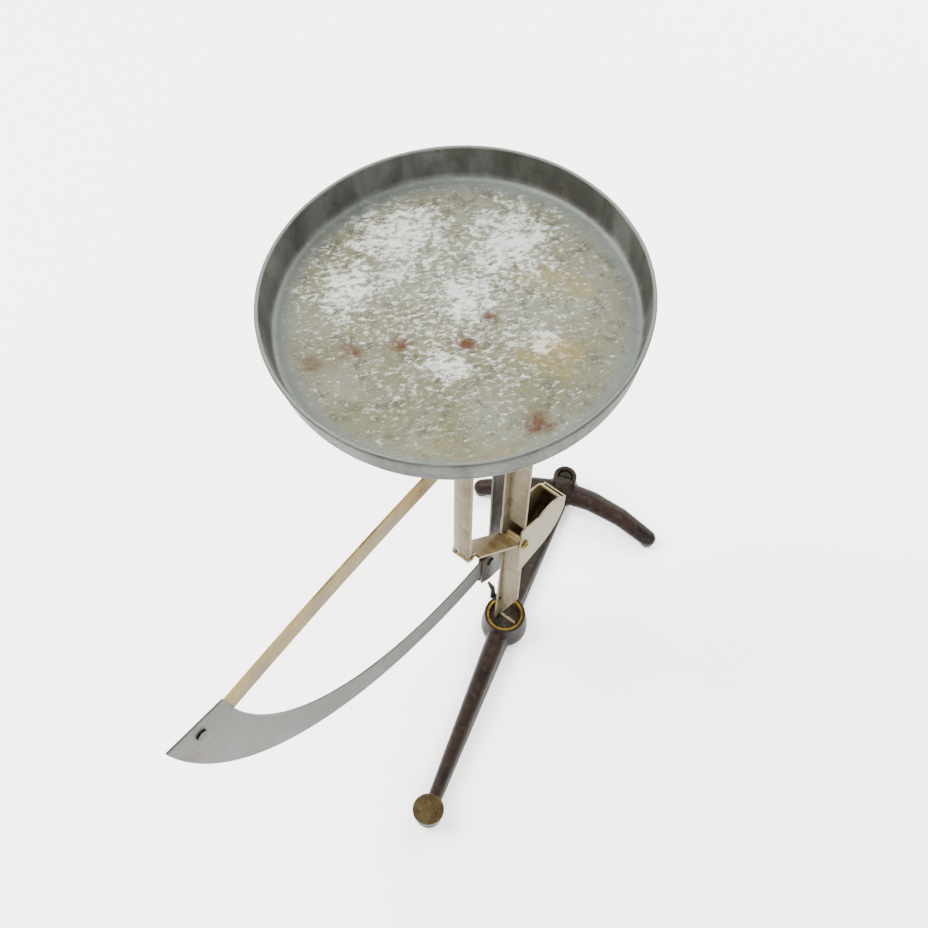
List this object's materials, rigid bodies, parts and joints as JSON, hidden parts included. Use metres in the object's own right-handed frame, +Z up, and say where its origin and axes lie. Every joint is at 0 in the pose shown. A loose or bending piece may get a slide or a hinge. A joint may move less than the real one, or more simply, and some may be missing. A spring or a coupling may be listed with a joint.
{
  "type": "quadrant pan scale",
  "caption": "Tabletop quadrant scale: round pan on a parallel-motion stem, swinging curved sector with counterweight, sheet column turning in a T-shaped base with a levelling screw.",
  "frame": {"origin": "on the table, under the middle of the box around the whole scale at rest", "axes": "+Z up; +Y from the levelling screw's end towards the crossbar; +X to the right, along the crossbar"},
  "size_m": [0.1009, 0.2002, 0.2453],
  "materials": {
    "cast_base": "worn dark brown bronzed casting",
    "screw_steel": "dull steel",
    "bush_brass": "aged brass",
    "levelling_brass": "aged brass with a darker centre",
    "plug": "dark oily iron",
    "plated_column": "worn nickel plate over brass",
    "pocket": "worn nickel plate, golden inside",
    "pin_brass": "dull brass",
    "dark_index": "blackened brass",
    "beam": "worn plate over brass",
    "weight": "dull cast brass",
    "arm_brass": "tan brass",
    "drop": "grey plate worn to brown",
    "quadrant": "grey tinned sheet",
    "clip": "brown bronzed sheet",
    "stem": "worn plate over brass",
    "link": "tan plate over brass",
    "pan_sheet": "mottled tinned sheet"
  },
  "bodies": {
    "base": {"base_bar": "cast_base", "rear_crossbar": "cast_base", "crossbar_screw": "screw_steel", "socket_bush": "bush_brass"},
    "leveller": {"levelling_screw": "levelling_brass", "levelling_head": "levelling_brass"},
    "column": {"column_plug": "plug", "swivel_screw": "screw_steel", "column_strip": "plated_column", "pivot_fork": "plated_column", "fork_rivets": "pin_brass", "stop_pin": "pin_brass", "link_pocket": "pocket", "link_pin": "pin_brass", "index_finger": "dark_index", "index_rivet": "pin_brass"},
    "quadrant_frame": {"pivot_axle": "pin_brass", "axle_nuts": "pin_brass", "beam_plates": "beam", "quadrant_collar": "pin_brass", "counterweight": "weight", "counterweight_bolt": "pin_brass", "quadrant_arm": "arm_brass", "drop_arm": "drop", "quadrant_plate": "quadrant", "quadrant_clip": "clip", "quadrant_rivets": "pin_brass"},
    "link": {"lower_link": "link"},
    "pan_carrier": {"pan_stem": "stem", "stem_top_pin": "pin_brass", "stem_bottom_pin": "pin_brass", "stem_flange": "stem", "pan_rivets": "pan_sheet", "pan": "pan_sheet"}
  },
  "joints": [
    {"name": "column_swivel", "type": "hinge", "parent": "base", "child": "column", "pos_m": [0.00488, 0.02838, 0.01], "axis": [0, 0, 1], "continuous": true},
    {"name": "levelling_turn", "type": "hinge", "parent": "base", "child": "leveller", "pos_m": [0.00488, -0.05212, 0.005], "axis": [0, 0, 1], "continuous": true},
    {"name": "beam_swing", "type": "hinge", "parent": "column", "child": "quadrant_frame", "pos_m": [0.00545, 0.02768, 0.1875], "axis": [0.9563, -0.2924, 0], "range_deg": [0, 56]},
    {"name": "link_swing", "type": "hinge", "parent": "column", "child": "link", "pos_m": [0.00545, 0.02768, 0.079], "axis": [0.9563, -0.2924, 0], "range_deg": [0, 56]},
    {"name": "stem_level", "type": "hinge", "parent": "quadrant_frame", "child": "pan_carrier", "pos_m": [-0.00274, 0.0009, 0.221], "axis": [0.9563, -0.2924, 0], "range_deg": [-56, 0]}
  ],
  "couplings": [
    {"joint": "link_swing", "follows": "beam_swing", "ratio": 1},
    {"joint": "stem_level", "follows": "beam_swing", "ratio": -1}
  ]
}
